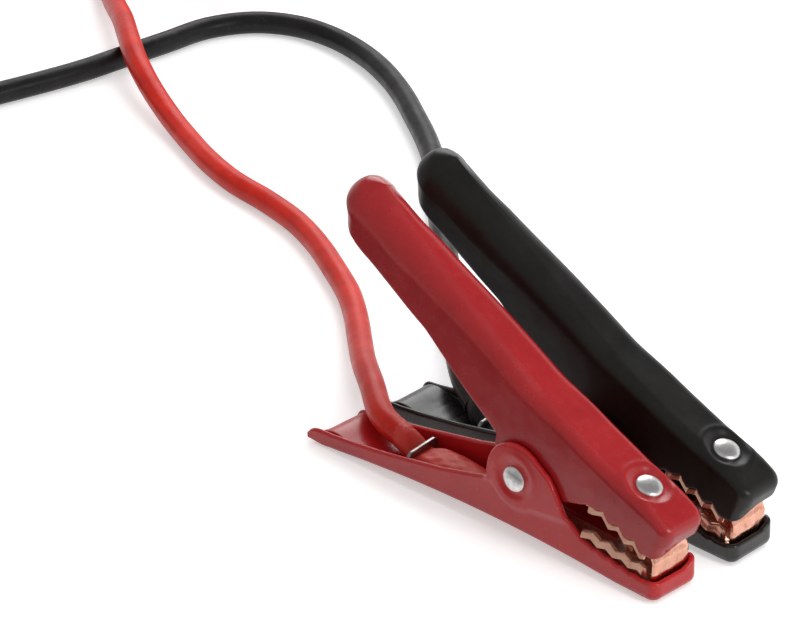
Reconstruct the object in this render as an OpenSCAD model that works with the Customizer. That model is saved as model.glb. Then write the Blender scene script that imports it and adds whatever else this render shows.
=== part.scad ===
// Pair of spring battery clamps with their charging leads.
// Red is positive and black is negative. Each clamp is a stamped steel pair of arms
// dipped in vinyl, with toothed copper jaw liners, a rivet pivot and a torsion spring.
// Each lead runs from the clamp's trough to a ring terminal, its spare length coiled and tied.
// A clamp is drawn with its jaws along +X, its pivot axis along Y and its lower arm on Z = 0.

/* [Arms] */
// Outside width of the lower arm's trough
lower_w = 22.8; // [22.6:0.1:23.4]
// Outside width of the upper arm
upper_w = 20.4; // [20:0.1:20.4]
// Outside width of the lower arm across its two ears
ear_w = 25.4; // [25.4:0.1:26]
// Thickness of the steel sheet
steel_t = 1.2; // [1:0.1:1.2]
// Thickness of the vinyl dip on each face of the steel
coat_t = 0.5; // [0.4:0.05:0.55]
// Height of the lower arm's arched underside above the surface it stands on
arch_h = 4.1; // [3.6:0.1:4.4]
// Outer corner radius along the top of the upper arm
shoulder_r = 6.5; // [5:0.5:7]

/* [Pivot] */
// Distance of the pivot axis in front of the clamp's reference point
pivot_x = 1.6; // [1.4:0.1:1.8]
// Height of the pivot axis
pivot_z = 24.6; // [24.4:0.1:24.8]
// Radius of the pivot rivet's shank
pivot_r = 2.5; // [2.2:0.1:2.8]
// Radial clearance of the upper arm's holes on the pivot rivet
pivot_gap = 0.05; // [0.02:0.01:0.09]
// Radius of the pivot rivet's heads
pivot_head_r = 4.75; // [4:0.25:5.5]
// Radius of the lower arm's ears
ear_r = 13.7; // [13.5:0.1:13.9]

/* [Jaws] */
// Thickness of the copper jaw liners
liner_t = 0.8; // [0.6:0.1:0.9]
// Distance from tooth to tooth
tooth_pitch = 7; // [6.8:0.1:7.2]
// Radius of the jaw rivets' outside heads
jaw_head_r = 4.9; // [4.5:0.1:6]
// Radius of the jaw rivets' shanks
jaw_shank_r = 2.2; // [1.8:0.1:2.4]

/* [Spring] */
// Mean radius of the torsion spring's coil
spring_r = 6.2; // [5.8:0.1:6.4]
// Radius of the spring wire
wire_r = 1; // [0.8:0.1:1]
// Turns of the spring's coil
spring_turns = 5; // [4:1:5]

/* [Leads] */
// Outside diameter of each lead
lead_d = 9.5; // [9:0.1:9.5]
// Coil diameter at the middle of its turns
coil_mid_d = 113; // [110:1:114]
// Bore radius of the ring terminals, for an M8 stud
ring_bore_r = 4.2; // [4.1:0.1:4.3]
// Outer radius of the ring terminals
ring_r = 8.5; // [8:0.5:9]

/* [Layout] */
// Place of the red clamp's reference point on the surface
red_at = [15.2, -17.4];
// Place of the black clamp's reference point on the surface
black_at = [17.7, 17.3];
// Turn of the black clamp about the vertical, in degrees
black_yaw = 2; // [1.5:0.1:2.5]

/* [Hidden] */
$fn = 48;

// Colours
red_vinyl = [0.66, 0.13, 0.15];
black_vinyl = [0.10, 0.10, 0.10];
red_lead_colour = [0.80, 0.16, 0.13];
black_lead_colour = [0.13, 0.13, 0.14];
bright_steel = [0.75, 0.75, 0.75];
copper = [0.85, 0.52, 0.38];

// Sheet and clearances
wall = steel_t + 2 * coat_t;
far = 100;
pivot = [pivot_x, pivot_z];
lead_r = lead_d / 2;

// ---- helpers -------------------------------------------------------------------------

// Points on an arc, with angles in degrees
function arc(c, r, a0, a1, n) =
    [for (i = [0 : n]) let (a = a0 + (a1 - a0) * i / n) c + r * [cos(a), sin(a)]];

function unit(v) = v / norm(v);

// Left-hand normal of the edge from a to b, which points into a counter-clockwise outline
function edge_in(a, b) = let (u = unit(b - a)) [-u[1], u[0]];

// A counter-clockwise outline moved inwards by d; a negative d moves it outwards
function inset(p, d) = let (n = len(p))
    [for (i = [0 : n - 1])
        let (u = edge_in(p[(i + n - 1) % n], p[i]), v = edge_in(p[i], p[(i + 1) % n]))
        p[i] + d * (u + v) / (1 + u * v)];

// An XZ outline carried across the clamp, centred on its middle plane
module slab(outline, width) {
    translate([0, width / 2, 0]) rotate([90, 0, 0]) linear_extrude(width) polygon(outline);
}

// A round bar along Y through the XZ point c
module cross_pin(c, r, from_y, to_y) {
    translate([c[0], to_y, c[1]]) rotate([90, 0, 0]) cylinder(r = r, h = to_y - from_y);
}

// Domed rivet head of the given rim radius and height, standing on Z = 0
module dome(r, h) {
    ball_r = (r * r + h * h) / (2 * h);
    rotate_extrude() intersection() {
        translate([0, h - ball_r]) circle(r = ball_r, $fn = 96);
        square([r, h]);
    }
}

// Toothed line: low points on the line z = z0 + slope (x - x0), a long rise and a short fall
function teeth(x0, z0, slope, depth, rise, count) =
    [for (k = [0 : count - 1], half = [0 : 1])
        let (x = x0 + k * tooth_pitch + half * rise)
        [x, z0 + slope * (x - x0) + half * depth]];

// ---- lower arm -----------------------------------------------------------------------

heel_x = -92;
toe_x = 58;
lip_x = 63;
lip_z = 7.6;

// Height of the arched underside at x
function arch(x) = arch_h * max(0, 1 - pow((x - (heel_x + toe_x) / 2) / ((toe_x - heel_x) / 2), 2));

arch_line = [for (i = [0 : 12]) let (x = heel_x + (toe_x - heel_x) * i / 12) [x, arch(x)]];
trough_rim = [[-16, 18.9], [-35, 14.2], [-60, 9.9], [-78, 7.5], [-88, 6.6]];
jaw_rim = [[55, 7.8], [46, 8.9], [38, 10.2], [31, 13.2], [26, 16.4]];
tail_nose = arc([-92.5, -1.2], 7.7, 80, 168, 5);

lower_outline = concat([[-99.4, 0]], arch_line, arc([lip_x - 4, 4], 4, -70, 0, 4),
    [[lip_x, lip_z]], jaw_rim, [[20, 18.6]], trough_rim, tail_nose);

// The hollow follows the underside one wall above it and runs out over the tail
trough_floor = concat([for (p = arch_line) if (p[0] > -80 && p[0] < 57) [p[0], p[1] + wall]],
    [[lip_x - wall, wall]]);
trough_cut = concat([[-104, 0.6], [-101, 1.2], [-98, 3.4], [-94, 4.4], [-88, 4.3]], trough_floor,
    [[lip_x - wall, far], [-104, far]]);

// Height of the trough's floor at x
function floor_z(x) = lookup(x, trough_floor);

// The curled tail is open underneath
tail_cut = [[-97.4, -5], [-80, -5], [-81, 1.2], [-88, 2.0], [-94, 2.0], [-96.4, 1.0]];

ear_centre = [pivot_x + 0.8, pivot_z - 0.2];
ear_outline = concat([[26.2, 14.6], [24.4, 18.4], [21.8, 23.4], [19.4, 27.6], [16.8, 31]],
    arc(ear_centre, ear_r, 48, 238, 19), [[2, 11.8], [12, 12.0], [20, 12.8]]);
ear_sweep = [[-18, 19.2], [27.5, 19.2], [27.5, far], [-18, far]];

// The whole lower arm, with every face moved inwards by d
module lower_arm(d) {
    hollow = wall - d;
    difference() {
        union() {
            slab(inset(lower_outline, d), lower_w - 2 * d);
            slab(inset(ear_outline, d), ear_w - 2 * d);
        }
        slab(inset(trough_cut, -d), lower_w - 2 * hollow);
        slab(inset(tail_cut, -d), lower_w - 2 * hollow);
        slab(inset(ear_outline, hollow), ear_w - 2 * hollow);
        slab(inset(ear_sweep, -d), ear_w - 2 * hollow);
        cross_pin(pivot, pivot_r, -far, far);
        jaw_rivet_hole_low();
    }
}

// ---- upper arm -----------------------------------------------------------------------

// Centre and radius of the handle's domed end
handle_end = [-75.6, 98.2];
end_r = 10.6;

upper_top = concat([[63.6, 16.0]], arc([61.3, 26.6], 6.4, -20, 62, 6),
    [[48.5, 38.8], [30, 47.2], [6.6, 58.6], [-24.8, 78], [-50.7, 93.6], [-64, 101.4]],
    arc(handle_end, end_r + 0.1, 70, 190, 9), [[-82.4, 92.2]]);
upper_under = [[-77.6, 88.2], [-66, 80.6], [-53, 72.2], [-42, 64.6], [-23, 47.8], [-11.2, 38.8],
    [-8.4, 36.8], [-9.6, 32.4], [-9.2, 27.2]];
upper_hub = arc(pivot, 10.4, 184, 330, 10);
jaw_teeth = teeth(35.6, 25.0, -0.40, 2.6, 4, 4);

upper_outline = concat(upper_under, upper_hub, [[22.8, 22.6], [28, 24.0], [33, 25.6]],
    [for (p = jaw_teeth) if (p[0] < 60) p], upper_top);
upper_cut = concat([[-80, -far], [63.6, -far]], upper_top);

handle_slope = 31.6;
jaw_slope = 24.6;
bend_at = [6.6, 58.6];
// Distance from the bend back along the handle to where its shoulders get rounder
spoon_back = 62;
spoon_r = 9.5;

// Cross-section of a bar with round shoulders, its top on the X axis and its body below
module bar_section(width, r) {
    translate([-width / 2, -far]) square([width, far - r]);
    translate([-width / 2 + r, -far]) square([width - 2 * r, far]);
    for (side = [-1, 1]) translate([side * (width / 2 - r), -r]) circle(r = r);
}

// A round-shouldered bar from p back along a slope, its top face moved inwards by d
module top_bar(p, slope, back, ahead, r, d) {
    translate([p[0], 0, p[1]]) rotate([0, slope, 0]) translate([ahead, 0, -d])
        rotate([90, 0, -90]) linear_extrude(ahead + back) bar_section(upper_w - 2 * d, r - d);
}

// Everything ahead of the handle's end, and the end's domed post
module round_ended(d) {
    translate([handle_end[0], -far, 0]) cube(2 * far);
    translate([handle_end[0], 0, 0]) rotate_extrude($fn = 96) intersection() {
        union() {
            translate([0, handle_end[1]]) circle(r = end_r - d, $fn = 96);
            square([end_r - d, handle_end[1]]);
        }
        square([far, 2 * far]);
    }
}

module upper_form(outline, d) {
    intersection() {
        slab(outline, 2 * upper_w);
        union() {
            top_bar(bend_at, jaw_slope, 2, 70, shoulder_r - 2, d);
            top_bar(bend_at, handle_slope, spoon_back, 4, shoulder_r, d);
            top_bar(bend_at, handle_slope, 120, 1 - spoon_back, spoon_r, d);
        }
        round_ended(d);
    }
}

rivet_at = [51.9, 37.4];
rivet_tilt = 22.5;
dimple_r = 8;
dimple_h = 1.2;

// Places its children on the upper jaw's outer face, +Z outwards
module on_upper_jaw() {
    translate([rivet_at[0], 0, rivet_at[1]]) rotate([0, rivet_tilt, 0]) children();
}

// The whole upper arm, with every face moved inwards by d
module upper_arm(d) {
    hollow = wall - d;
    difference() {
        upper_form(inset(upper_outline, d), d);
        difference() {
            upper_form(inset(upper_cut, hollow), hollow);
            on_upper_jaw() translate([0, 0, -dimple_h - hollow])
                cylinder(r = dimple_r + hollow, h = 2 * hollow);
        }
        on_upper_jaw() translate([0, 0, -dimple_h - d]) cylinder(r = dimple_r + d, h = 20);
        cross_pin(pivot, pivot_r + pivot_gap, -far, far);
        on_upper_jaw() translate([0, 0, -20]) cylinder(r = jaw_shank_r, h = 40);
    }
}

// ---- pivot and spring ----------------------------------------------------------------

module pivot_rivet() {
    cross_pin(pivot, pivot_r, -ear_w / 2, ear_w / 2);
    for (side = [-1, 1])
        translate([pivot[0], side * ear_w / 2, pivot[1]]) rotate([-side * 90, 0, 0])
            dome(pivot_head_r, 1.5);
}

spring_half = 6.75;
leg_low_dir = 200;
leg_high_dir = 115;
leg_low = 33.3;
leg_high = 39;
coil_start = leg_low_dir + 90;
coil_end = leg_high_dir - 90;
coil_sweep = 360 * spring_turns + coil_start - coil_end;

// Centre line of the spring: lower leg, coil, upper leg
spring_line = concat(
    [spring_point(coil_start, -spring_half) + leg_low * xz_dir(leg_low_dir)],
    [for (i = [0 : 16 * spring_turns]) let (f = i / (16 * spring_turns))
        spring_point(coil_start - coil_sweep * f, spring_half * (2 * f - 1))],
    [spring_point(coil_end, spring_half) + leg_high * xz_dir(leg_high_dir)]);

function xz_dir(a) = [cos(a), 0, sin(a)];
function spring_point(a, y) = [pivot_x, y, pivot_z] + spring_r * xz_dir(a);

module torsion_spring() {
    swept_tube(spring_line, wire_r, 8, [0, 1, 0]);
}

// ---- swept tube ----------------------------------------------------------------------

// A tube of the given sides along a list of points; up is never along the path
module swept_tube(path, r, sides, up) {
    n = len(path);
    rings = [for (i = [0 : n - 1])
        let (t = unit(path[min(i + 1, n - 1)] - path[max(i - 1, 0)]),
            side = unit(cross(t, up)), top = cross(side, t))
        for (k = [0 : sides - 1]) let (a = 360 * (k + 0.5) / sides)
        path[i] + r * (cos(a) * side + sin(a) * top)];
    walls = [for (i = [0 : n - 2], k = [0 : sides - 1])
        let (a = i * sides + k, b = i * sides + (k + 1) % sides)
        [a, b, b + sides, a + sides]];
    caps = [[for (k = [sides - 1 : -1 : 0]) k], [for (k = [0 : sides - 1]) (n - 1) * sides + k]];
    polyhedron(rings, concat(walls, caps), convexity = 6);
}

// ---- jaw liners and jaw rivets -------------------------------------------------------

liner_back = 31;
upper_liner_w = upper_w - 2 * wall;
lower_liner_w = lower_w - 2 * wall;
liner_front = lip_x - wall - 0.4;

low_edge = concat(teeth(31.5, 14.6, -0.155, 1.6, 4, 4), [[59.5, 10.3]]);
high_edge = [for (p = teeth(35.6, 23.2, -0.40, 2.6, 4, 4)) if (p[0] < 60) p];

function lifted(line, d) = [for (p = line) p + [0, d]];
function reversed(line) = [for (i = [len(line) - 1 : -1 : 0]) line[i]];

// Toothed copper ledges along both sides of a jaw, from half width a out to half width b
module ledges(line, thickness, a, b) {
    for (side = [-1, 1]) translate([0, side * (a + b) / 2, 0])
        slab(concat(line, reversed(lifted(line, thickness))), b - a);
}

module lower_jaw_liner() {
    floor_line = [for (x = [liner_back, 33, 45.5, liner_front]) [x, floor_z(x)]];
    difference() {
        union() {
            difference() {
                slab(concat(floor_line, [[liner_front, 10.3]], reversed(lifted(low_edge, 0.2))),
                    lower_liner_w);
                slab(concat(lifted(floor_line, liner_t), [[liner_front, far], [liner_back, far]]),
                    lower_liner_w - 2 * liner_t);
            }
            ledges(low_edge, liner_t, lower_liner_w / 2 - liner_t, lower_w / 2 - 0.6);
        }
        jaw_rivet_hole_low();
    }
}

// The upper liner's front plate slants back as it reaches down into the lower jaw's cup,
// so that it clears the cup's front wall when the jaw opens
plate_top = [61.2, 15.5];
plate_foot = [59, 3.5];
plate_back = [-liner_t, 0];
roof = [[57, 31.6], [33, 40.8]];

module upper_jaw_liner() {
    body = concat(high_edge, [[58, 15.4], [57, 5], plate_foot + plate_back, plate_foot, plate_top,
        [61.2, 26.2]], roof);
    below = plate_foot - plate_top;
    room = concat([[liner_back, -8.5], plate_foot + below + plate_back, plate_top + plate_back,
        [61.2 - liner_t, 26]], lifted(roof, -liner_t), [[liner_back, 40.6]]);
    difference() {
        union() {
            difference() {
                slab(body, upper_liner_w - 0.1);
                slab(room, upper_liner_w - 0.1 - 2 * liner_t);
            }
            ledges(high_edge, liner_t, upper_liner_w / 2 - liner_t, upper_w / 2 + 0.2);
        }
        on_upper_jaw() translate([0, 0, -20]) cylinder(r = jaw_shank_r, h = 40);
    }
}

low_rivet_x = 37;
tongue_t = 1.6;
tongue_gap = 0.15;
tongue_top = floor_z(low_rivet_x) + liner_t + tongue_gap + tongue_t;

module jaw_rivet_hole_low() {
    translate([low_rivet_x, 0, -5]) cylinder(r = jaw_shank_r, h = 20);
}

module upper_jaw_rivet() {
    inside = -dimple_h - wall - liner_t - 0.4;
    on_upper_jaw() {
        translate([0, 0, inside]) cylinder(r = jaw_shank_r, h = -dimple_h - inside);
        translate([0, 0, -dimple_h]) dome(jaw_head_r, 1.9);
        translate([0, 0, inside]) mirror([0, 0, 1]) dome(3.8, 1.2);
    }
}

// The heads stand off far enough to clear the slope of the sheet they clamp
module lower_jaw_rivet() {
    outside_z = arch(low_rivet_x) - 0.45;
    inside_z = tongue_top + 0.4;
    translate([low_rivet_x, 0, outside_z]) {
        cylinder(r = jaw_shank_r, h = inside_z - outside_z);
        mirror([0, 0, 1]) dome(4.4, 1.2);
    }
    translate([low_rivet_x, 0, inside_z]) dome(3.8, 1.2);
}

// ---- where the lead enters the clamp -------------------------------------------------

clip_x = -54;
clip_top = 11.4;
clip_low = 8.8;
grip_floor = arch(clip_x) + wall;

module cable_clip() {
    leg_y = lower_w / 2 - wall - 0.7;
    translate([clip_x, 0, 0]) rotate([0, 0, 7]) {
        translate([-0.6, -leg_y, clip_low]) cube([1.2, 2 * leg_y, clip_top - clip_low]);
        for (side = [-1, 1])
            translate([-0.6, side * (leg_y - 0.5) - 0.5, grip_floor + 0.15])
                cube([1.2, 1, clip_low - grip_floor]);
    }
}

// The pressed end of the lead under the clip, wide and low
module insulated_end() {
    thick = clip_low - grip_floor - 0.55;
    flat_r = thick / 2;
    flat_w = 10.6 - thick;
    translate([clip_x - 4.5, 0, grip_floor + 0.25 + flat_r]) rotate([0, -2.4, 0]) rotate([90, 0, 90])
        linear_extrude(strands_x - clip_x + 4.5) {
            square([flat_w, thick], center = true);
            for (side = [-1, 1]) translate([side * flat_w / 2, 0]) circle(r = flat_r);
        }
}

strands_x = clip_x + 36.5;
strands_r = 1.7;
barrel_x = -6;
barrel_z = grip_floor + 3.75;

module bare_strands() {
    translate([strands_x, 0, barrel_z]) rotate([0, 90, 0])
        cylinder(r = strands_r, h = barrel_x + 6 - strands_x);
}

// Crimped barrel, and a tongue that lies along the lower jaw's liner to its rivet
module crimp_lug() {
    tongue_line = [for (x = [barrel_x + 12, 33, low_rivet_x + 5])
        [x, floor_z(x) + liner_t + tongue_gap]];
    difference() {
        translate([barrel_x, 0, barrel_z]) rotate([0, 90, 0]) cylinder(r = strands_r + 0.9, h = 13);
        translate([barrel_x - 1, 0, barrel_z]) rotate([0, 90, 0])
            cylinder(r = strands_r + 0.1, h = 13);
    }
    difference() {
        slab(concat(tongue_line, reversed(lifted(tongue_line, tongue_t))), 10);
        jaw_rivet_hole_low();
    }
}

// ---- leads ---------------------------------------------------------------------------

// Centre lines from the clip to the coil, in the part's own frame
red_route = [
    [-43.6, -18, 10.1], [-63, -13, 12.2], [-81, 0, 12.6], [-98, 13, 10.4], [-114, 27, 7.6],
    [-131, 42, 5.6], [-148, 55, 4.8], [-167, 66, 4.8], [-186, 76, 4.8], [-206, 84, 4.8],
    [-228, 89, 4.8], [-249, 92, 4.8], [-270, 98, 4.8], [-290, 106, 4.8], [-310, 114, 6.2],
    [-330, 122, 10], [-350, 132, 13.6], [-368, 144, 14.6], [-386, 157, 13.4], [-404, 169, 10.6],
    [-421, 181, 7.8], [-440, 194, 5.8], [-460, 208, 4.8], [-479.75, 223, 4.8]
];
black_route = [
    [-41.2, 14.8, 10.1], [-60, 25.5, 13.4], [-78, 41, 11.8], [-93, 56, 8.4], [-109, 71, 5.8],
    [-125, 86, 4.8], [-141, 101, 4.8], [-157, 115, 4.8], [-173, 130, 4.8], [-189, 145, 4.8],
    [-205, 160, 4.8], [-222, 173, 4.8], [-240, 185, 4.8], [-258, 196.5, 4.8], [-277, 206.5, 4.8],
    [-297, 214, 4.8], [-319, 218, 4.8], [-340, 216, 4.8], [-357, 206, 4.8], [-367, 188, 4.8],
    [-369, 166, 4.8], [-371, 145, 4.8], [-373, 123, 4.8], [-377, 102, 4.8], [-382, 81, 4.8],
    [-387, 60, 4.8], [-392.4, 37.9, 4.8]
];

red_coil_at = [-443, 272];
black_coil_at = [-452, 52];
// Bearing of the place where each lead's end leaves its coil
red_exit = 90;
black_exit = 303.5;
// Bearing of each coil's tie
red_tie = 150;
black_tie = 200;

outer_turn_r = coil_mid_d / 2 + lead_r;
sleeve_z = lead_r + 0.55;
stub = 58;

// The stub of lead from the coil's top turn down to its sleeve, in a frame whose X runs along it
stub_line = [[0, 0, 3 * lead_r], [18, 0, 3 * lead_r - 1.8], [38, 0, sleeve_z + 1.2], [stub, 0, sleeve_z]];

// Places its children where the lead leaves the coil, +X along the lead
module at_exit(centre, bearing) {
    translate([centre[0], centre[1], 0]) rotate([0, 0, bearing])
        translate([outer_turn_r, 0, 0]) rotate([0, 0, -90]) children();
}

module lead(route, centre, bearing) {
    swept_tube(route, lead_r, 10, [0, 0, 1]);
    at_exit(centre, bearing) swept_tube(stub_line, lead_r, 10, [0, 0, 1]);
}

tie_w = 12;
tie_t = 1.2;

// A band round the wound turns, which they sink into under it
module coil_tie(centre, bearing) {
    room = 2 * lead_d - 2 * tie_t;
    translate([centre[0], centre[1], 0]) rotate([0, 0, bearing])
        translate([coil_mid_d / 2, 0, lead_d]) difference() {
            cube([2 * lead_d + 1, tie_w, 2 * lead_d], center = true);
            cube([room, 2 * tie_w, room], center = true);
        }
}

// Outer shape of the wound turns, two beside each other on two layers
module lead_coil(centre, bearing) {
    corner = lead_r;
    difference() {
        translate([centre[0], centre[1], 0]) rotate_extrude($fn = 96)
            translate([coil_mid_d / 2, lead_d]) {
                square([2 * lead_d, 2 * (lead_d - corner)], center = true);
                square([2 * (lead_d - corner), 2 * lead_d], center = true);
                for (u = [-1, 1], v = [-1, 1])
                    translate([u * (lead_d - corner), v * (lead_d - corner)]) circle(r = corner);
            }
        coil_tie(centre, bearing);
    }
}

sleeve_len = 24;
barrel_r = 4.3;
plate_z = sleeve_z - barrel_r;
plate_t = 2;
ring_at = stub + 32;

module terminal_sleeve() {
    translate([stub - sleeve_len / 2, 0, sleeve_z]) rotate([0, 90, 0]) difference() {
        cylinder(r = lead_r + 0.5, h = sleeve_len);
        translate([0, 0, -1]) cylinder(r = lead_r + 0.02, h = sleeve_len + 2);
    }
}

module ring_terminal() {
    difference() {
        translate([stub + 0.1, 0, sleeve_z]) rotate([0, 90, 0]) cylinder(r = barrel_r, h = 17);
        translate([stub, 0, sleeve_z]) rotate([0, 90, 0]) cylinder(r = 3.2, h = 14);
        translate([stub + 14, -far, plate_z + plate_t]) cube([far, 2 * far, far]);
    }
    difference() {
        union() {
            translate([ring_at, 0, plate_z]) cylinder(r = ring_r, h = plate_t);
            translate([stub + 14, -4, plate_z]) cube([ring_at - stub - 14, 8, plate_t]);
        }
        translate([ring_at, 0, -1]) cylinder(r = ring_bore_r, h = 20);
    }
}

// ---- placing -------------------------------------------------------------------------

module on_red() {
    translate([red_at[0], red_at[1], 0]) children();
}

module on_black() {
    translate([black_at[0], black_at[1], 0]) rotate([0, 0, black_yaw]) children();
}

module red_lower_arm_steel() { on_red() color(bright_steel) lower_arm(coat_t); }
module red_lower_arm_coat() { on_red() color(red_vinyl) difference() { lower_arm(0); lower_arm(coat_t); } }
module red_upper_arm_steel() { on_red() color(bright_steel) upper_arm(coat_t); }
module red_upper_arm_coat() { on_red() color(red_vinyl) difference() { upper_arm(0); upper_arm(coat_t); } }
module red_pivot_rivet() { on_red() color(bright_steel) pivot_rivet(); }
module red_torsion_spring() { on_red() color(bright_steel) torsion_spring(); }
module red_upper_jaw_liner() { on_red() color(copper) upper_jaw_liner(); }
module red_lower_jaw_liner() { on_red() color(copper) lower_jaw_liner(); }
module red_upper_jaw_rivet() { on_red() color(bright_steel) upper_jaw_rivet(); }
module red_lower_jaw_rivet() { on_red() color(bright_steel) lower_jaw_rivet(); }
module red_cable_clip() { on_red() color(bright_steel) cable_clip(); }
module red_insulated_end() { on_red() color(red_lead_colour) insulated_end(); }
module red_bare_strands() { on_red() color(copper) bare_strands(); }
module red_crimp_lug() { on_red() color(copper) crimp_lug(); }
module red_lead() { color(red_lead_colour) lead(red_route, red_coil_at, red_exit); }
module red_lead_coil() { color(red_lead_colour) lead_coil(red_coil_at, red_tie); }
module red_coil_tie() { color(black_vinyl) coil_tie(red_coil_at, red_tie); }
module red_terminal_sleeve() { color(red_vinyl) at_exit(red_coil_at, red_exit) terminal_sleeve(); }
module red_ring_terminal() { color(copper) at_exit(red_coil_at, red_exit) ring_terminal(); }

module black_lower_arm_steel() { on_black() color(bright_steel) lower_arm(coat_t); }
module black_lower_arm_coat() { on_black() color(black_vinyl) difference() { lower_arm(0); lower_arm(coat_t); } }
module black_upper_arm_steel() { on_black() color(bright_steel) upper_arm(coat_t); }
module black_upper_arm_coat() { on_black() color(black_vinyl) difference() { upper_arm(0); upper_arm(coat_t); } }
module black_pivot_rivet() { on_black() color(bright_steel) pivot_rivet(); }
module black_torsion_spring() { on_black() color(bright_steel) torsion_spring(); }
module black_upper_jaw_liner() { on_black() color(copper) upper_jaw_liner(); }
module black_lower_jaw_liner() { on_black() color(copper) lower_jaw_liner(); }
module black_upper_jaw_rivet() { on_black() color(bright_steel) upper_jaw_rivet(); }
module black_lower_jaw_rivet() { on_black() color(bright_steel) lower_jaw_rivet(); }
module black_cable_clip() { on_black() color(bright_steel) cable_clip(); }
module black_insulated_end() { on_black() color(black_lead_colour) insulated_end(); }
module black_bare_strands() { on_black() color(copper) bare_strands(); }
module black_crimp_lug() { on_black() color(copper) crimp_lug(); }
module black_lead() { color(black_lead_colour) lead(black_route, black_coil_at, black_exit); }
module black_lead_coil() { color(black_lead_colour) lead_coil(black_coil_at, black_tie); }
module black_coil_tie() { color(red_vinyl) coil_tie(black_coil_at, black_tie); }
module black_terminal_sleeve() { color(black_vinyl) at_exit(black_coil_at, black_exit) terminal_sleeve(); }
module black_ring_terminal() { color(copper) at_exit(black_coil_at, black_exit) ring_terminal(); }

red_lower_arm_steel();
red_lower_arm_coat();
red_upper_arm_steel();
red_upper_arm_coat();
red_pivot_rivet();
red_torsion_spring();
red_upper_jaw_liner();
red_lower_jaw_liner();
red_upper_jaw_rivet();
red_lower_jaw_rivet();
red_cable_clip();
red_insulated_end();
red_bare_strands();
red_crimp_lug();
red_lead();
red_lead_coil();
red_coil_tie();
red_terminal_sleeve();
red_ring_terminal();
black_lower_arm_steel();
black_lower_arm_coat();
black_upper_arm_steel();
black_upper_arm_coat();
black_pivot_rivet();
black_torsion_spring();
black_upper_jaw_liner();
black_lower_jaw_liner();
black_upper_jaw_rivet();
black_lower_jaw_rivet();
black_cable_clip();
black_insulated_end();
black_bare_strands();
black_crimp_lug();
black_lead();
black_lead_coil();
black_coil_tie();
black_terminal_sleeve();
black_ring_terminal();
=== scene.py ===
"""Looks for a pair of spring battery clamps, red and black, with their charging leads.

Shapes are worked out in millimetres in a clamp's own frame, its jaws along +X, its pivot along Y
and its lower arm on Z = 0, and are then placed for each clamp in the part's frame in metres.
"""
import math
from math import radians

import bmesh
import bpy
import numpy as np
from mathutils import Matrix, Vector


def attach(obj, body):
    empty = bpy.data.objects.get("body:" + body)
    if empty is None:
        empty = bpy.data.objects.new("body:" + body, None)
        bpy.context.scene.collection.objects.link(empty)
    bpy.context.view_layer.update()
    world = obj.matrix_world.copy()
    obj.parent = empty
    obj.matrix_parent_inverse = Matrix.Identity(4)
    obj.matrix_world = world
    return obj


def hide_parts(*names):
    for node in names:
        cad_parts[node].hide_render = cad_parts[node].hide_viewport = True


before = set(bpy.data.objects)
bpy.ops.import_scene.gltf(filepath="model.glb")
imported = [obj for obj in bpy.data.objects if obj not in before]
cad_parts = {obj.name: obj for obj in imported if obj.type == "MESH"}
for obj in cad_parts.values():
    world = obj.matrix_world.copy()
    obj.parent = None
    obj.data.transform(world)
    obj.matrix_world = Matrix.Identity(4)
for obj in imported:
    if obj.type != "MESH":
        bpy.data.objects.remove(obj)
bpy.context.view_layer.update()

MM = 0.001
MERGE = 2e-6
SIDES = {"red": (15.2, -17.4, 0.0), "black": (17.7, 17.3, 2.0)}
PIVOT = np.array([1.6, 24.6])

# ---- camera ----

VIEW_BACK = Vector((0.62345, -0.62937, 0.46391))
VIEW_RIGHT = Vector((0.71373, 0.70037, -0.00901))
VIEW_UP = Vector((-0.31923, 0.33672, 0.88584))
RED_MIDDLE = Vector((*SIDES["red"][:2], 0)) * MM
SENSOR = 36
FOCAL_PIXELS = 4363
PICTURE_WIDTH = 800


def added(name, data):
    """A new object in the scene."""
    thing = bpy.data.objects.new(name, data)
    bpy.context.scene.collection.objects.link(thing)
    return thing


def make_camera():
    """A camera 1.5 m back from a point a little left of the red clamp's middle and above it."""
    data = bpy.data.cameras.new("camera")
    data.sensor_width = SENSOR
    data.lens = SENSOR * FOCAL_PIXELS / PICTURE_WIDTH
    data.clip_start, data.clip_end = 0.05, 20
    camera = added("camera", data)
    back, left, up = 1.5, 0.0465, 0.0724
    place = back * VIEW_BACK - left * VIEW_RIGHT + up * VIEW_UP + RED_MIDDLE
    turn = Matrix((VIEW_RIGHT, VIEW_UP, VIEW_BACK)).transposed().to_4x4()
    camera.matrix_world = Matrix.Translation(place) @ turn
    bpy.context.scene.camera = camera


make_camera()

# ---- lines and steps ----

FINE = 4000
FLIP_Y = np.array([1, -1, 1])
ALONG, ACROSS, UP, DOWN = [1, 0, 0], [0, 1, 0], [0, 0, 1], [0, 0, -1]


def rise(x, a, b):
    """0 before a, 1 after b, and 3t^2 - 2t^3 between them."""
    t = np.clip((np.asarray(x, float) - a) / (b - a), 0, 1)
    return t * t * (3 - 2 * t)


def fall(x, a, b):
    """1 before a and 0 after b."""
    return 1 - rise(x, a, b)


def steps(a, b, count):
    """Even steps from a towards b, with b left out."""
    return np.linspace(a, b, count, endpoint=False)


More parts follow.
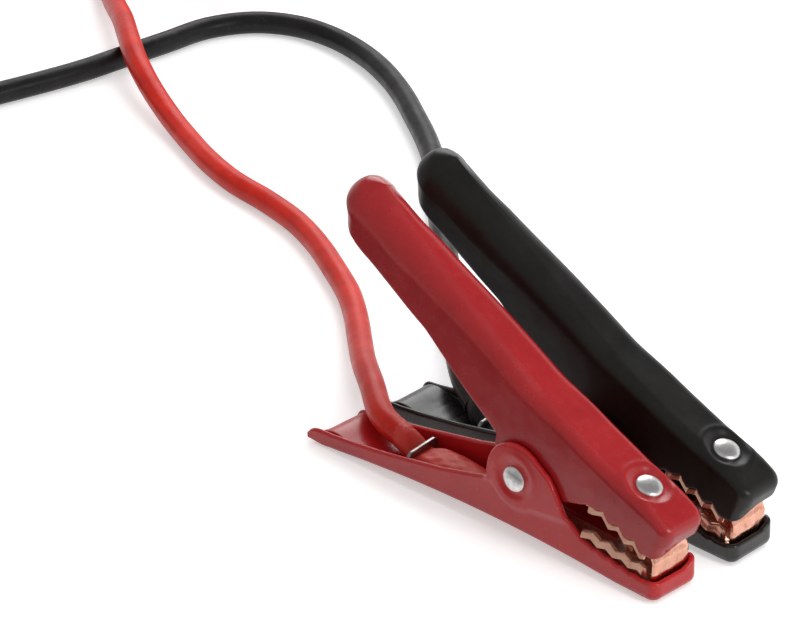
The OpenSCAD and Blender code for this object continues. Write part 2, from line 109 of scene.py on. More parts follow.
def walked(points, count, soft):
    """count points evenly spaced by length along a polyline, whose corners are softened by a
    running average over soft mm."""
    def spread(line, steps):
        gone = np.concatenate([[0], np.cumsum(np.linalg.norm(np.diff(line, axis=0), axis=1))])
        even = np.linspace(0, gone[-1], steps)
        return np.stack([np.interp(even, gone, axis) for axis in line.T], 1), gone[-1]

    line, length = spread(np.asarray(points, float), FINE + 1)
    reach = max(1, int(round(soft / length * FINE)))
    bell = np.hanning(2 * reach + 3)[1:-1]
    bell /= bell.sum()
    before = 2 * line[:1] - line[1:reach + 1][::-1]
    after = 2 * line[-1:] - line[-reach - 1:-1][::-1]
    padded = np.vstack([before, line, after])
    line = np.stack([np.convolve(axis, bell, "valid") for axis in padded.T], 1)
    return spread(line, count)[0]


def on_circle(centre, radius, a):
    """Both coordinates of the points at angles a on a circle."""
    return centre[0] + radius * np.cos(a), centre[1] + radius * np.sin(a)


def units(v):
    return v / np.linalg.norm(v, axis=-1, keepdims=True)


def left_of(v):
    """v turned a quarter turn to its left."""
    return np.stack([-v[..., 1], v[..., 0]], -1)


def stations(*spans):
    """Places along a tube from (first, last, count) spans, one for each row of its grid."""
    return np.concatenate([np.linspace(*span) for span in spans])[:, None]


def around(sides):
    """Evenly spaced angles of a full turn."""
    return steps(0, 2 * np.pi, sides)


def squarish(a, power):
    """Cosine and sine of a, each with its size raised to a power; below 1 it squares the circle."""
    return [np.sign(part) * abs(part) ** power for part in (np.cos(a), np.sin(a))]


def xyz(x, y, z):
    """Points from their three coordinates, each a number or an array."""
    return np.stack(np.broadcast_arrays(x, y, z), -1)


def in_plane(xz, y=0.0):
    """Points from pairs of x and z."""
    xz = np.asarray(xz, float)
    return xyz(xz[..., 0], y, xz[..., 1])


def moved(points, x0, y0, angle):
    """Points turned about Z by an angle in radians, then shifted in X and Y."""
    c, s = math.cos(angle), math.sin(angle)
    x, y, z = np.moveaxis(np.asarray(points, float), -1, 0)
    return xyz(x0 + x * c - y * s, y0 + x * s + y * c, z)


# ---- meshes ----


def placed(points, at):
    """Clamp millimetres to the part's metres."""
    return moved(points, at[0], at[1], radians(at[2])) * MM


def make_piece(name, points, faces, material, body, sharp, replaces):
    """A mesh from points in metres, its doubles merged and its faces turned outwards."""
    mesh = bpy.data.meshes.new(name)
    mesh.from_pydata(points.reshape(-1, 3).tolist(), [], faces.tolist())
    form = bmesh.new()
    form.from_mesh(mesh)
    bmesh.ops.remove_doubles(form, verts=form.verts, dist=MERGE)
    bmesh.ops.dissolve_degenerate(form, dist=MERGE / 2, edges=form.edges)
    bmesh.ops.recalc_face_normals(form, faces=form.faces)
    if form.calc_volume(signed=True) < 0:
        bmesh.ops.reverse_faces(form, faces=form.faces)
    form.to_mesh(mesh)
    form.free()
    mesh.shade_smooth()
    if sharp is not None:
        mesh.set_sharp_from_angle(angle=radians(sharp))
    mesh.materials.append(material)
    piece = added(name, mesh)
    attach(piece, body)
    if replaces:
        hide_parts(*replaces)
    return piece


def quads(rows, columns, wrap_rows=False, wrap_columns=False):
    """Corner numbers of the faces of a rows by columns grid, joined at its ends where asked."""
    r = np.arange(rows if wrap_rows else rows - 1)
    c = np.arange(columns if wrap_columns else columns - 1)
    a, b = np.meshgrid(r, c, indexing="ij")
    below, beside = (a + 1) % rows, (b + 1) % columns
    corners = (a, b), (a, beside), (below, beside), (below, b)
    return np.stack([row * columns + column for row, column in corners], -1).reshape(-1, 4)


def capped_tube(rings):
    """Rings of points joined along a path, with both ends drawn together in their middles."""
    first, last = (np.broadcast_to(end.mean(1), end.shape) for end in (rings[:1], rings[-1:]))
    rings = np.concatenate([first, rings, last])
    return rings, quads(len(rings), rings.shape[1], wrap_columns=True)


def ring_faces(grid):
    """A grid closed both ways, with its faces."""
    return grid, quads(*grid.shape[:2], wrap_rows=True, wrap_columns=True)


def round_tube(path, radius, sides, up=UP):
    """A circle of the given radius carried along a path, square to it."""
    tangent = units(np.gradient(path, axis=0))
    side = units(np.cross(tangent, up))
    top = np.cross(side, tangent)
    a = around(sides)[None, :, None]
    return capped_tube(path[:, None] + radius * (np.cos(a) * side[:, None] + np.sin(a) * top[:, None]))


def turned(profile, centre, axis, side, sides=48):
    """A profile of (radius, height) points turned about an axis through the centre."""
    profile = np.asarray(profile, float)
    axis, side = units(np.asarray(axis, float)), units(np.asarray(side, float))
    a = around(sides)[:, None]
    ring = np.cos(a) * side + np.sin(a) * np.cross(axis, side)
    radius, height = profile.T[:, :, None, None]
    return centre + height * axis + radius * ring, quads(len(profile), sides, wrap_columns=True)


def pan(edge, inward, outward, rim, spine, radius, counts):
    """Closed shell of a dished sheet arm, one column of points for each place round its rim.
    A column runs from the spine over the flat to the corner, round it by a quarter circle about
    edge + radius * inward, straight to the rim, round the rim by a half circle as wide as the
    sheet, and back inside at one sheet's thickness."""
    flat, bend, wall, lip = counts
    half = SHEET / 2
    radius = radius[:, None]
    inner_radius = np.maximum(radius - SHEET, 0.7)
    inner_edge = edge + inward * SHEET + outward * (radius - inner_radius - SHEET)
    up_wall = units(edge - rim)
    out_end = rim + up_wall * half
    inner_wall = units(inner_edge - (rim + inward * SHEET))
    in_end = rim + inward * SHEET + inner_wall * half
    v, a, u, p = (row[:, None, None] for row in (
        steps(0, 1, flat), steps(np.pi / 2, 0, bend), steps(0, 1, wall), np.linspace(0, np.pi, lip)))
    top = edge + inward * radius + outward * radius
    low = inner_edge + inward * inner_radius + outward * inner_radius
    inner_spine = spine - outward * SHEET
    middle = (out_end + in_end) / 2
    rows = [
        spine + (top - spine) * v,
        edge + inward * radius * (1 - np.cos(a)) + outward * radius * np.sin(a),
        edge + (out_end - edge) * u,
        middle - inward * half * np.cos(p) - up_wall * half * np.sin(p),
        in_end + (inner_edge - in_end) * (u + 1 / wall),
        inner_edge + inward * inner_radius * (1 - np.sin(a)) + outward * inner_radius * np.cos(a),
        low + (inner_spine - low) * (v + 1 / flat),
    ]
    return np.concatenate(rows).transpose(1, 0, 2)


def strip(edge, inward, outward, radius, rim, spine):
    """One stretch of a pan: what pan asks for, at each place along it."""
    lines = [np.broadcast_to(value, edge.shape) for value in (edge, inward, outward, rim, spine)]
    return (*lines, np.broadcast_to(radius, len(edge)))


def both_halves(half):
    """A half loop from one middle point to the other, with its mirror image in Y joined on."""
    mirror = half * FLIP_Y if half.ndim == 2 else half
    return np.concatenate([half, mirror[-2:0:-1]])


# ---- arms ----

SHEET = 2.2
UPPER_HALF = 10.2
LOWER_HALF = 11.4
EAR_STEP = 1.3
EAR_HALF = 12.7
RIVET_AT = np.array([51.9, 37.45])
RIVET_TILT = radians(22.5)
RIVET_AXIS = np.array([math.sin(RIVET_TILT), 0, math.cos(RIVET_TILT)])
HEAD_SINK = 0.55
END_BALL = np.array([-75.6, 98.2])
END_R = 10.5
TIP = np.array([69.3, 30.6])
NOSE_R = 3.6
CORNER_R = 4.6
TOP_LINE = [[-70.4, 106.9], [-68.9, 105.95], [-67.4, 104.85], [-65.5, 103.4], [-63.5, 101.9], [-61, 100.1],
            [-58, 98.2], [-54, 95.75], [-50.7, 93.7], [-24.8, 78.1], [6.6, 58.7], [30, 47.3], [48.5, 38.9],
            [65.1, 32.4]]

# Rim of the upper arm's wall from the domed end to the jaw: x and z on the rim, x on the top line
UPPER_RIM = [
    [-76.8, 88.8, -70.4], [-75, 86.9, -69.4], [-71.7, 84.4, -66.8], [-66, 80.9, -62.5],
    [-53, 72.2, -51], [-42, 64.6, -41], [-23, 47.8, -22], [-11.2, 38.8, -8], [-8.8, 36.4, -5],
    [-9.6, 32.4, -2.5], [-9.2, 27.2, 0],
    *[[*on_circle(PIVOT, 10.4, a), 1.5 + 18 * k / 10]
      for k, a in enumerate(np.radians(np.linspace(184, 330, 11)))],
    [22.8, 22.6, 28], [28, 24, 32.5], [33, 25.6, 37.5],
    [35.6, 25, 40], [39.6, 26, 44], [42.6, 22.2, 47], [46.6, 23.2, 51], [49.6, 19.4, 54],
    [53.6, 20.4, 58.4], [56.6, 16.6, 62], [60.4, 16.1, 65.1],
]


def teeth(x0, z0, slope, depth):
    """Four low points on a sloping line, 7 mm apart, each with a climb 4 mm long after it."""
    return [[x0 + along, z0 + slope * along + high * depth]
            for k in range(4) for high in (0, 1) for along in [7 * k + high * 4]]


def round_front(steps, half, corner):
    """Angle and y at each place round an arm's front corner and from there to its middle."""
    q = np.concatenate([np.linspace(0, np.pi / 2, steps + 1)[1:], np.full(12, np.pi / 2)])
    across = np.concatenate([np.zeros(steps), np.linspace(0, 1, 13)[1:]])
    return q, (half - corner + corner * np.cos(q)) * (1 - across)


def upper_arm():
    """The upper arm: walls drop from a round-shouldered top line to the rim, round a ball-shaped
    handle end at the back and a rounded nose over the jaw."""
    top = walked(TOP_LINE, 600, 5)
    slope = units(np.gradient(top, axis=0))
    end_up = units(top[0] - END_BALL)
    end_on = -left_of(end_up)
    nose_on = units(np.array([0.92, -0.39]))
    nose_up = left_of(nose_on)

    def on_line(x, values):
        return np.interp(x, top[:, 0], values)

    # handle end, from the back round to the side
    b = steps(np.pi / 2, 0, 40)
    sine, cosine = np.sin(b)[:, None], np.cos(b)
    rim_x = -76.8 - 7.5 * np.sin(b) ** 1.2
    rim_z = 88.8 + 6.6 * np.sin(b) ** 1.6
    strips = [strip(in_plane(END_BALL - END_R * sine * end_on, END_R * cosine),
                    in_plane(sine * end_on, -cosine), in_plane(end_up), END_R,
                    xyz(rim_x, (END_R - 0.3) * cosine, rim_z), in_plane(END_BALL + END_R * end_up))]

    # side
    rim_x, rim_z, x = walked(UPPER_RIM, 300, 0.55).T
    on_top = np.stack([x, on_line(x, top[:, 1])], 1)
    up = left_of(np.stack([on_line(x, part) for part in slope.T], 1))
    up = units(up + (end_up - up) * fall(x[:, None], -70.4, -60))
    round_r = 9.2 + (END_R - 9.2) * fall(x, -70, -60) - 2.9 * rise(x, -46, 4)
    round_r = round_r - 1.8 * rise(x, 0, 22) - 1.1 * rise(x, 55, 65)
    half = UPPER_HALF + 0.3 * fall(x, -72, -60)
    half = half - 0.35 * rise(x, -72, -63) * fall(x, -62, -46)
    round_r = np.minimum(round_r, half)
    strips.append(strip(in_plane(on_top - up * round_r[:, None], half), (0, -1, 0), in_plane(up), round_r,
                        xyz(rim_x, half - 0.15 * rise(-x, 60, 70), rim_z), in_plane(on_top)))

    # front corner and front
    q, y = round_front(13, UPPER_HALF, CORNER_R)
    sweep = np.sin(q)
    on_top = TIP - CORNER_R * (1 - sweep)[:, None] * nose_on
    round_r = 3.4 + (NOSE_R - 3.4) * sweep ** 2
    strips.append(strip(in_plane(on_top - round_r[:, None] * nose_up, y),
                        in_plane(-sweep[:, None] * nose_on, -np.cos(q)), in_plane(nose_up), round_r,
                        xyz(60.4 + 3.4 * sweep, y, 16.1 - 0.5 * sweep), in_plane(TIP - UPPER_HALF * nose_on)))

    edge, inward, outward, rim, spine, radius = (both_halves(np.concatenate(part)) for part in zip(*strips))
    hang = 1.5 * rise(rim[:, 0], -85, -77) * fall(rim[:, 0], -64, -38)
    rim -= hang[:, None] * in_plane(end_up)
    spine[:, 0] = np.minimum(spine[:, 0], TIP[0] - 12)
    spine[:, 2] = on_line(spine[:, 0], top[:, 1])
    grid = crowned(pan(edge, inward, outward, rim, spine, radius, (14, 9, 30, 8)), end_up)
    grid = eased(grid, fall(grid[..., 0], -60, -50), 10)
    pole = np.linalg.norm(grid - grid[20, 0], axis=-1)
    return lipped(dimpled(eased(grid, fall(pole, 4, 9), 40)))


def crowned(grid, end_up):
    """The handle end's section is an egg: its shoulders drop with the square of y, by 3 mm where
    y is 10, above its middle line."""
    x, y, z = np.moveaxis(grid, -1, 0)
    height = (x - END_BALL[0]) * end_up[0] + (z - END_BALL[1]) * end_up[1]
    drop = 0.03 * y ** 2 * rise(height, -6, 4) * fall(x, -70, -22)
    return grid - drop[..., None] * in_plane(end_up)


def eased(grid, share, rounds):
    """Each point drawn towards the mean of its four neighbours by half its share, again and again."""
    share = 0.5 * share[..., None]
    for _ in range(rounds):
        beside = (np.roll(grid, 1, 0) + np.roll(grid, -1, 0)) / 2
        inline = grid.copy()
        inline[:, 1:-1] = (grid[:, :-2] + grid[:, 2:]) / 2
        grid = grid + share * ((beside + inline) / 2 - grid)
    return grid


# Across the jaw: y and how far the lip's lower edge climbs there
LIP_CLIMB = np.array([[-10.2, 0], [-8.5, 0.5], [-5, 1.5], [-1.7, 2.3], [3, 3.3], [6, 3.8], [8, 2.9],
                      [9.2, 2], [10.2, 1.8]]).T


def lipped(grid):
    """The roof bows down towards the lip, and the lip's lower edge climbs from the near corner to
    y = 6 and hangs a little at the far one."""
    x, y, z = np.moveaxis(grid, -1, 0)
    climb = np.interp(y, *LIP_CLIMB)
    climb = climb * fall(z, 15, 24) * rise(x, 59.5, 62)
    grid[..., 2] = z + climb - 2.5 * rise(x, 56, 69) * rise(z, 17, 26)
    return grid


def dimpled(grid):
    """A round dip about the jaw rivet, 1.4 mm deep and flat under the head, with a faint swell
    round it; a point moves along the rivet's axis by a function of its distance from it."""
    away = grid - in_plane(RIVET_AT)
    height = away @ RIVET_AXIS
    distance = np.linalg.norm(away - height[..., None] * RIVET_AXIS, axis=-1)
    dip = 1.4 * fall(distance, 5.2, 8.8) - 0.25 * np.exp(-((distance - 9.4) / 1.2) ** 2)
    near = fall(-height, 3.5, 8)
    return grid - (dip * near)[..., None] * RIVET_AXIS


# The tail's hump: x and how far it lifts the floor
HUMP = np.array([
    [-99, 0], [-98, 0.45], [-97, 1.3], [-96, 2.15], [-95, 2.85], [-94, 3.4], [-93, 3.8], [-92, 4.1],
    [-91, 4.28], [-90, 4.35], [-89, 4.3], [-87.5, 4.1], [-86, 3.75], [-84, 3.1], [-82, 2.4],
    [-79, 1.45], [-75, 0.6], [-70, 0]]).T


def arch(x):
    """Height of the trough's floor: a parabola 4.1 mm high at x = -17 and level from 75 mm off."""
    return 4.1 * np.maximum(0, 1 - ((np.asarray(x) + 17) / 75) ** 2)


def lower_arm():
    """The lower arm: a trough whose walls rise from an arched floor to the rim, round two ears at
    the pivot, a closed jaw at the front and a humped lip at the tail."""
    # tail edge and corner, from the middle to the side
    tail_r, corner = 0.75, 1.2
    q = np.linspace(0, np.pi / 2, 9)
    y = np.concatenate([steps(0, LOWER_HALF - corner, 10), LOWER_HALF - corner + corner * np.sin(q)])
    x = np.concatenate([np.full(10, -99.8), -98.6 - corner * np.cos(q)])
    lean = np.concatenate([np.zeros(10), q])
    strips = [strip(xyz(x, y, tail_r), xyz(np.cos(lean), -np.sin(lean), 0), DOWN, tail_r,
                    xyz(x + 0.1, y, 1.9 + 1.2 * np.sin(lean)), (-95, 0, 0))]

    # side, from the tail to the front corner: x and z on the rim, and x on the floor's edge where
    # it isn't the rim's
    rows = [[-99.2, 2.4], [-99.15, 3.4], [-98.6, 4.6], [-97.5, 5.5], [-95.8, 6.15], [-93.5, 6.5], [-91, 6.6],
            [-88, 6.6], [-78, 7.5], [-60, 9.9], [-35, 14.2], [-20, 17.8], [-13, 19.6, -14.5]]
    rows += [[*on_circle((2.4, 24.4), 13.7, a), -12.5 + 31 * k / 15]
             for k, a in enumerate(np.radians(np.linspace(198, 48, 16)))]
    rows += [[16.8, 31, 20.5], [19.4, 27.6, 22], [21.8, 23.4, 23.6], [24.4, 18.4, 25.4], [27, 15.6, 27.4],
             [31, 12.6], [34.6, 11.6]]
    rows += [[36.5 + 5.5 * k + on, 10.7 - 0.95 * k + up]
             for k in range(4) for on, up in ((0, 0), (1.6, 0.5), (3.2, -0.2))]
    rows = [(*row, row[0])[:3] for row in rows + [[60.6, 7.6]]]
    rim_x, rim_z, base = walked(rows, 300, 0.6).T
    round_r = 0.8 + 1.1 * rise(base, -97, -88) + 1.5 * rise(base, 44, 60)
    strips.append(strip(xyz(base, LOWER_HALF, arch(base) + round_r), (0, -1, 0), DOWN, round_r,
                        xyz(rim_x, LOWER_HALF, rim_z), xyz(base, 0, arch(base))))

    # front corner and front
    front_r, corner = 3.4, 3.9
    q, y = round_front(14, LOWER_HALF, corner)
    x = 64.5 - corner * (1 - np.sin(q))
    strips.append(strip(xyz(x, y, front_r), xyz(-np.sin(q), -np.cos(q), 0), DOWN, front_r,
                        xyz(x - 0.1, y, 7.6 + 0.25 * np.cos(q)), (53, 0, 0)))

    edge, inward, outward, rim, spine, radius = (both_halves(np.concatenate(part)) for part in zip(*strips))
    spine[:, 0] = np.clip(spine[:, 0], -95, 53)
    spine[:, 2] = arch(spine[:, 0])
    rim[:, 2] += (rim[:, 1] > 5) * np.interp(rim[:, 0], [-92, -60, -20, -16, -10.6], [0, 1.5, 2.3, 2, 0])
    counts = (12, 7, 34, 9)
    grid = pan(edge, inward, outward, rim, spine, radius, counts)
    grid = humped(grid, abs(inward[:, 1:2]) ** 2, counts)
    x, y, z = np.moveaxis(grid, -1, 0)
    far_lip = rise(x, 55, 61) * rise(y, 3.5, 10.5) * rise(z, 2.5, 7)
    z += 2.4 * far_lip
    return eared(grid)


def humped(grid, sideways, counts):
    """The floor's hump at the tail, on the inside below the rim and on the underside between the
    two side edges; then the tail's edge drawn in, eased, and its near corner pulled to a beak."""
    flat, bend, wall, lip = counts
    x, y, z = np.moveaxis(grid, -1, 0)
    row = np.arange(grid.shape[1])
    outside = row < flat + bend
    first = flat + bend + wall + lip
    across = np.clip((row - first) / wall, 0, 1)
    rim_z = z[:, first - 1][:, None]
    depth = np.maximum(rim_z - arch(x) - SHEET, 0.8)
    down = np.clip((rim_z - z) / depth, 0, 1)
    share = (row >= first) * (across + (down - across) * sideways) + outside * fall(abs(y), 8.2, 10.6)
    z += np.interp(x, *HUMP) * share
    x += 0.45 * np.clip(-92.5 - x, 0, None) * fall(-y, 6.0, 10.6)
    grid = eased(grid, fall(x, -94, -84), 10)
    x, y, z = np.moveaxis(grid, -1, 0)
    beak = rise(-y, 7, 10.5) * rise(-x, 90, 98.5)
    z += 0.9 * beak * fall(z, 1.0, 4)
    x -= 1.2 * beak
    return grid


def eared(grid):
    """The ears stand 1.3 mm proud of the trough's walls, inside and out, over soft steps: a disc
    about the pivot, the ear above the trough's rim, and a band that fades towards the jaw. A
    shallow dish sinks in under the pivot's head."""
    x, y, z = np.moveaxis(grid, -1, 0)
    reach = np.hypot(x - PIVOT[0], z - PIVOT[1])
    disc = fall(reach, 10.9, 12.9)
    back = rise(z, 17.2, 20.2) * rise(x, -14.5, -11.5) * (x < PIVOT[0])
    front = rise(z - 0.12 * (x - 2), 12.2, 15.6) * fall(x, 22.5, 29) * (x >= PIVOT[0])
    step = np.maximum(disc, np.maximum(back, front))
    sunk = HEAD_SINK * fall(reach, 5.6, 8.2) - 0.12 * np.exp(-((reach - 9.2) / 1.2) ** 2)
    wall = abs(y) > 8.2
    grid[..., 1] = y + np.sign(y) * wall * (EAR_STEP * step - sunk)
    return grid


# ---- jaws ----

HIGH_TEETH = teeth(35.6, 23.2, -0.40, 2.6)
LOW_TEETH = teeth(31.5, 14.6, -0.155, 1.6) + [[59.5, 10.3]]


def sheet_metal(half, thickness):
    """Closed sheet of the given thickness from lines between its edge and its middle: those lines
    and their mirror images, their copy moved along the grid's own normals, and the strip between
    their borders. A line on the middle itself comes once."""
    other = half[::-1] if half[-1][0, 1] else half[-2::-1]
    grid = np.stack(half + [line * FLIP_Y for line in other])
    normal = units(np.cross(np.gradient(grid, axis=0), np.gradient(grid, axis=1)))
    rows, columns = grid.shape[:2]
    ring = np.concatenate([grid, (grid + thickness * normal)[::-1]])
    n = np.arange(rows - 1)
    far = 2 * rows - 1 - n
    ends = np.stack([n, n + 1, far - 1, far], 1) * columns
    return ring, np.concatenate([quads(2 * rows, columns, wrap_rows=True), ends, ends + columns - 1])


def shoulder(side, level, radius, up):
    """A quarter circle from a side wall into a level above it (up = 1) or below it (up = -1)."""
    return [(side - radius * (1 - math.cos(a)), level - up * radius * (1 - math.sin(a)))
            for a in np.linspace(0, np.pi / 2, 7)]


def tooth_height(corners, x):
    """Height of a softened row of teeth at each x."""
    line = walked(corners, 800, 0.25)
    return np.interp(x, line[:, 0], line[:, 1])


def upper_liner():
    """Copper lining of the upper jaw: a roof, round shoulders, sides, and a toothed flare that
    leans out at 45 degrees under the vinyl."""
    x = np.linspace(24.5, 58.8, 170)
    out = rise(x, 31.8, 34)
    low = tooth_height(HIGH_TEETH, x) + 1.2 * (1 - out)
    roof = 40.9 - 0.383 * (x - 33)
    side = 7.95
    section = [(side + 2.3 * out, low), (side + 1.45 * out, low + 1), (side + 0.55 * out, low + 1.75),
               (side + 0.1 * out, low + 2.4), (side, low + 3.4), (side, (low + roof) / 2)]
    section += [*shoulder(side, roof, 2.2, 1), (3, roof)]
    return sheet_metal([xyz(x, y, z) for y, z in section], 0.45)


def mouth_plate():
    """Copper plate at the mouth of the upper jaw: it comes down from under the lip into the lower
    jaw, bowed forward between them, with both side edges turned back."""
    z = np.linspace(4.4, 27.5, 40)
    x = np.interp(z, [4.4, 7.4, 9.5, 14, 16.5, 27.5], [61.3, 61.7, 62.3, 62.5, 61.4, 61])
    section = [(8.6, 1.5), (8.6, 0.9), (8.4, 0.35), (7.9, 0.05), (6.6, 0), (3.3, 0), (0, 0)]
    return sheet_metal([xyz(x - back, y, z) for y, back in section], 0.7)


def lower_liner():
    """Copper lining of the lower jaw: a floor that follows the trough, round corners, sides, and a
    toothed flange that lies out over the vinyl's rim."""
    x = np.linspace(31.0, 58.2, 150)
    low = tooth_height(LOW_TEETH, x)
    floor = arch(x) + 2.35
    side = 8.4
    section = [(10.85, low - 1.5), (10.55, low - 0.7), (10.1, low - 0.05), (9.5, low + 0.3),
               (8.9, low + 0.35), (8.5, low - 0.1), (side, low - 1.4)]
    section += [*shoulder(side, floor, 1.5, -1), (3.2, floor)]
    return sheet_metal([xyz(x, y, np.maximum(z, floor)) for y, z in section], 0.6)


# ---- rivets ----


def head(radius, height, foot, axis, side=ACROSS, sides=48):
    """A flat-topped dome: a short upright rim, then a height that follows
    sqrt(1 - (r / radius)^2.1)."""
    skirt = 0.35
    r = radius * np.sin(np.linspace(np.pi / 2, 0, 18))
    h = skirt + (height - skirt) * np.sqrt(np.clip(1 - (r / radius) ** 2.1, 0, 1))
    rim = [[0, -0.6], [radius * 0.96, -0.6], [radius, -0.25]]
    return turned(np.concatenate([rim, np.stack([r, h], 1)]), foot, axis, side, sides)


def shank(radius, length, foot, axis, side=ACROSS):
    return turned([[0, 0], [radius, 0], [radius, length], [0, length]], foot, axis, side)


def joined(parts):
    """Several point and face pairs as one."""
    points, faces, start = [], [], 0
    for grid, corners in parts:
        points.append(grid.reshape(-1, 3))
        faces.append(corners + start)
        start += len(points[-1])
    return np.concatenate(points), np.concatenate(faces)


def pivot_rivet():
    out = EAR_HALF - HEAD_SINK
    heads = [head(4.75, 2, in_plane(PIVOT, s * out), [0, s, 0], ALONG, 64) for s in (-1, 1)]
    return joined([*heads, shank(2.5, 2 * out, in_plane(PIVOT, -out), ACROSS, ALONG)])


def upper_rivet():
    foot = in_plane(RIVET_AT) - 1.35 * RIVET_AXIS
    return joined([head(4.9, 1.9, foot, RIVET_AXIS, sides=64),
                   shank(2.2, 4.4, foot - 3.9 * RIVET_AXIS, RIVET_AXIS),
                   head(3.8, 1.2, foot - 3.8 * RIVET_AXIS, -RIVET_AXIS)])


def lower_rivet():
    x, low, high = 37, 1.55, 6.75
    return joined([head(4.4, 1.2, [x, 0, low], DOWN), shank(2.2, high - low, [x, 0, low], UP),
                   head(3.8, 1.2, [x, 0, high], UP)])


# ---- spring, clip and wire ----

SPRING_R = 6.2
WIRE_R = 1.0
CLIP_X = -54
CLIP_TURN = 7
STRAND_HEIGHT = float(arch(CLIP_X)) + SHEET + 3.75

# The pressed lead at each x: half its width and half its height
PRESSED = np.array([
    [-68.5, 4.3, 4.3], [-66.5, 4.72, 4.7], [-64, 4.9, 4.82], [-62.2, 4.95, 4.75], [-60, 5, 4.4],
    [-58, 5.1, 3.7], [-56.3, 5.2, 2.75], [-55, 5.3, 2], [-54, 5.35, 1.6], [-53, 5.5, 1.7],
    [-51, 5.9, 2.15], [-48.5, 6.3, 2.45], [-45, 6.6, 2.5], [-40, 6.7, 2.45], [-34, 6.5, 2.1],
    [-28, 6, 1.8], [-17.5, 5, 1.6]]).T


def on_spring(angle, y):
    """A point of the spring's coil round the pivot axis."""
    x, z = on_circle(PIVOT, SPRING_R, angle)
    return xyz(x, y, z)


def leg_line(start, first, last, heading):
    """A straight line from first to last mm beyond start, at a heading in degrees."""
    way = in_plane(on_circle((0, 0), 1, radians(heading)))
    return start + np.linspace(first, last, 14)[:, None] * way


def wire(*lines):
    return round_tube(np.concatenate(lines), WIRE_R, 14, ACROSS)


def spring():
    """A helix of five and a bit turns about the pivot, with a straight leg leaving its first end
    along the tangent."""
    start, end = radians(290), radians(25)
    sweep = 2 * math.pi * 5 + start - end
    f = np.linspace(0, 1, 260)
    coil = on_spring(start - sweep * f, 6.75 * (2 * f - 1))
    return wire(leg_line(coil[0], 33.3, 0.6, 200), coil)


def spring_leg():
    """The spring's other leg, which goes with the handle; it starts on the last turn's circle."""
    bend = on_spring(np.radians([55, 47.5, 40, 32.5, 25]), np.array([6.53, 6.58, 6.64, 6.69, 6.75]))
    return wire(bend, leg_line(bend[-1], 0.6, 39, 115))


def cable_clip():
    """A staple: a thin blade with rounded edges carried up one leg, across and down the other."""
    path = walked([[0, -7.85, 6.6], [0, -7.85, 10.2], [0, 7.85, 10.2], [0, 7.85, 6.6]], 90, 0.8)
    thick = np.array([1, 0, 0])
    wide = np.cross(units(np.gradient(path, axis=0)), thick)
    half_thick, half_wide = 0.65, 1.3
    p, q = (part[None, :, None] for part in squarish(around(20), 0.3))
    narrow = np.interp(abs(path[:, 1]), [0, 6.6, 7.6], [1, 1, 0.42])[:, None, None]
    rings, faces = capped_tube(path[:, None] + half_thick * p * thick + half_wide * q * narrow * wide[:, None])
    return moved(rings, CLIP_X, 0, radians(CLIP_TURN)), faces


def pressed_lead(name):
    """The lead's end pressed flat under the clip: from inside the round lead its middle line drops
    to the floor, and round it goes a superellipse |y/a|^n + |z/b|^n = 1 whose half width a and
    half height b change along it; beyond the clip it swells and its skin wrinkles."""
    x0, y0, degrees = SIDES[name]
    start, after = moved(np.array(ROUTES[name][:2]) - [x0, y0, 0], 0, 0, -radians(degrees))
    heading = (after - start) / abs(after[0] - start[0])
    x = stations((-68.5, -17.5, 130))
    line = start + heading * (start[0] - x)
    wide, high = (np.interp(x, PRESSED[0], half) for half in PRESSED[1:])
    share = rise(x, -64, -54.6)
    y_mid = line[:, 1:2] * (1 - share)
    z_mid = line[:, 2:] * (1 - share) + (arch(x) + 2.4 + high) * share
    a = around(48)
    y, z = squarish(a, 1 - 0.25 * share)
    y, z = wide * y, high * z
    creased = rise(x, -53.4, -51) * fall(x, -34, -26) * (np.sin(a) > 0) * np.sin(a) ** 2
    z = z + creased * (0.16 * np.sin(1.1 * y + 0.5 * x) + 0.12 * np.sin(0.9 * x - 1.3 * y))
    return capped_tube(xyz(x, y_mid + y, z_mid + z))


def strands():
    """Six twisted wires round a seventh: each a helix of pitch 16 mm about the bundle's middle."""
    x = np.linspace(-17.7, 0, 60)
    strand_r, lay, pitch = 0.56, 1.13, 16
    paths = [xyz(x, *on_circle((0, STRAND_HEIGHT), out, k * np.pi / 3 + x * 2 * np.pi / pitch))
             for k, out in enumerate([lay] * 6 + [0])]
    return joined([round_tube(path, strand_r, 8) for path in paths])


def lug():
    """A crimped barrel, oval where it is pressed, that flattens into a tongue along the jaw."""
    barrel_r, tongue = 2.6, 0.8
    x = stations((-6, 7, 34), (7.6, 42, 40))
    squeeze = 0.55 * (np.exp(-(x + 2.6) ** 2) + np.exp(-(x - 3.2) ** 2))
    flat = rise(x, 6.5, 9.5)
    wide = (barrel_r + 0.4 * squeeze) * (1 - flat) + 5.0 * flat
    wide *= np.where(x > 40, np.sqrt(np.clip(1 - ((x - 40) / 2.6) ** 2, 0.05, 1)), 1)
    high = (barrel_r - squeeze) * (1 - flat) + tongue * flat
    middle = STRAND_HEIGHT * (1 - flat) + (arch(x) + SHEET + 0.95 + tongue) * flat
    y, z = squarish(around(32), 1 - 0.55 * flat)
    return capped_tube(xyz(x, wide * y, middle + high * z))


# ---- leads ----

LEAD_R = 4.75
RESTING = 4.8
COIL_R = 56.5
OUTER_R = COIL_R + LEAD_R
WHOLE_TURNS = 3
TURN_STEP = 12
BARREL_HEIGHT = 5.3
STUB_LINE = [[18, 0, 12.45], [38, 0, 6.5], [58, 0, BARREL_HEIGHT]]

